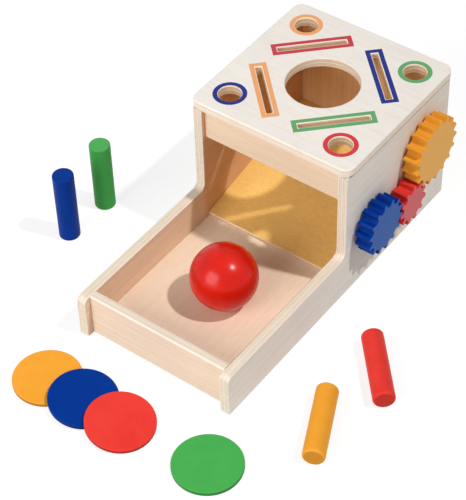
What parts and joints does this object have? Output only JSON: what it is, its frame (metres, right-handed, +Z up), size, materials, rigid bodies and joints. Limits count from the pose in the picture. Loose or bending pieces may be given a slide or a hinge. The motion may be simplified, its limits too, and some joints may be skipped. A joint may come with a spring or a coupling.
{
  "type": "coin sorter box",
  "caption": "Wooden drop box with an open tray: ball, coins and pegs fall through shaped openings in the top and roll down a ramp; painted gears mesh on one side.",
  "frame": {"origin": "on the table, at the underside of the floor board, straight below the middle of the ball hole", "axes": "+Z up, +X towards the wall with the gears, -Y towards the open tray"},
  "size_m": [0.3063, 0.3587, 0.124],
  "materials": {
    "plywood": "sanded birch plywood with a thin clear lacquer, layers showing on the edges",
    "fibreboard": "smooth thin fibreboard, ochre with fine fibre specks",
    "beech": "turned bare beech",
    "steel": "zinc-plated steel",
    "yellow_paint": "solid wood in golden yellow water-based paint, satin",
    "red_paint": "solid wood in bright red water-based paint, glossy",
    "blue_paint": "solid wood in deep blue water-based paint, satin",
    "green_paint": "solid wood in leaf green water-based paint, satin"
  },
  "bodies": {
    "box": {"left_side_panel": "plywood", "right_side_panel": "plywood", "top_panel": "plywood", "header_rail": "plywood", "back_panel": "plywood", "floor_board": "plywood", "tray_front_lip": "plywood", "ramp_board": "fibreboard", "ramp_back_cleat": "plywood", "header_dowel_left_middle": "beech", "header_dowel_right_middle": "beech", "back_dowel_left_low": "beech", "back_dowel_left_high": "beech", "back_dowel_right_low": "beech", "back_dowel_right_high": "beech", "floor_dowel_left_rear": "beech", "floor_dowel_left_front": "beech", "floor_dowel_right_rear": "beech", "floor_dowel_right_front": "beech", "lip_dowel_left_middle": "beech", "lip_dowel_right_middle": "beech", "top_dowel_left_rear": "beech", "top_dowel_left_front": "beech", "top_dowel_right_rear": "beech", "top_dowel_right_front": "beech"},
    "yellow_gear_set": {"yellow_gear": "yellow_paint", "yellow_axle": "beech", "yellow_spacer_washer": "beech", "yellow_keeper_washer": "steel", "yellow_screw": "steel"},
    "red_gear_set": {"red_gear": "red_paint", "red_axle": "beech", "red_spacer_washer": "beech", "red_keeper_washer": "steel", "red_screw": "steel"},
    "blue_gear_set": {"blue_gear": "blue_paint", "blue_axle": "beech", "blue_spacer_washer": "beech", "blue_keeper_washer": "steel", "blue_screw": "steel"},
    "loose_ball": {"ball": "red_paint"},
    "loose_yellow_coin": {"yellow_coin": "yellow_paint"},
    "loose_blue_coin": {"blue_coin": "blue_paint"},
    "loose_red_coin": {"red_coin": "red_paint"},
    "loose_green_coin": {"green_coin": "green_paint"},
    "loose_blue_peg": {"blue_peg": "blue_paint"},
    "loose_green_peg": {"green_peg": "green_paint"},
    "loose_yellow_peg": {"yellow_peg": "yellow_paint"},
    "loose_red_peg": {"red_peg": "red_paint"}
  },
  "joints": [
    {"name": "yellow_gear_spin", "type": "hinge", "parent": "box", "child": "yellow_gear_set", "pos_m": [0.076, 0.03, 0.0763], "axis": [1, 0, 0], "continuous": true},
    {"name": "red_gear_spin", "type": "hinge", "parent": "box", "child": "red_gear_set", "pos_m": [0.076, 0.00032, 0.04577], "axis": [1, 0, 0], "continuous": true},
    {"name": "blue_gear_spin", "type": "hinge", "parent": "box", "child": "blue_gear_set", "pos_m": [0.076, -0.03718, 0.05225], "axis": [1, 0, 0], "continuous": true},
    {"name": "ball_lift", "type": "slide", "parent": "box", "child": "loose_ball", "axis": [0, 0, 1], "range_m": [0, 0.06]},
    {"name": "yellow_coin_slide", "type": "slide", "parent": "box", "child": "loose_yellow_coin", "axis": [-1, 0, 0], "range_m": [0, 0.06]},
    {"name": "blue_coin_slide", "type": "slide", "parent": "box", "child": "loose_blue_coin", "axis": [0, -1, 0], "range_m": [0, 0.06]},
    {"name": "red_coin_lift", "type": "slide", "parent": "box", "child": "loose_red_coin", "axis": [0, 0, 1], "range_m": [0, 0.04]},
    {"name": "green_coin_lift", "type": "slide", "parent": "box", "child": "loose_green_coin", "axis": [0, 0, 1], "range_m": [0, 0.04]},
    {"name": "blue_peg_lift", "type": "slide", "parent": "box", "child": "loose_blue_peg", "axis": [0, 0, 1], "range_m": [0, 0.07]},
    {"name": "green_peg_lift", "type": "slide", "parent": "box", "child": "loose_green_peg", "axis": [0, 0, 1], "range_m": [0, 0.07]},
    {"name": "yellow_peg_lift", "type": "slide", "parent": "box", "child": "loose_yellow_peg", "axis": [0, 0, 1], "range_m": [0, 0.04]},
    {"name": "red_peg_lift", "type": "slide", "parent": "box", "child": "loose_red_peg", "axis": [0, 0, 1], "range_m": [0, 0.04]}
  ],
  "couplings": [
    {"joint": "red_gear_spin", "follows": "yellow_gear_spin", "ratio": -1.5455},
    {"joint": "blue_gear_spin", "follows": "yellow_gear_spin", "ratio": 1.2143}
  ]
}
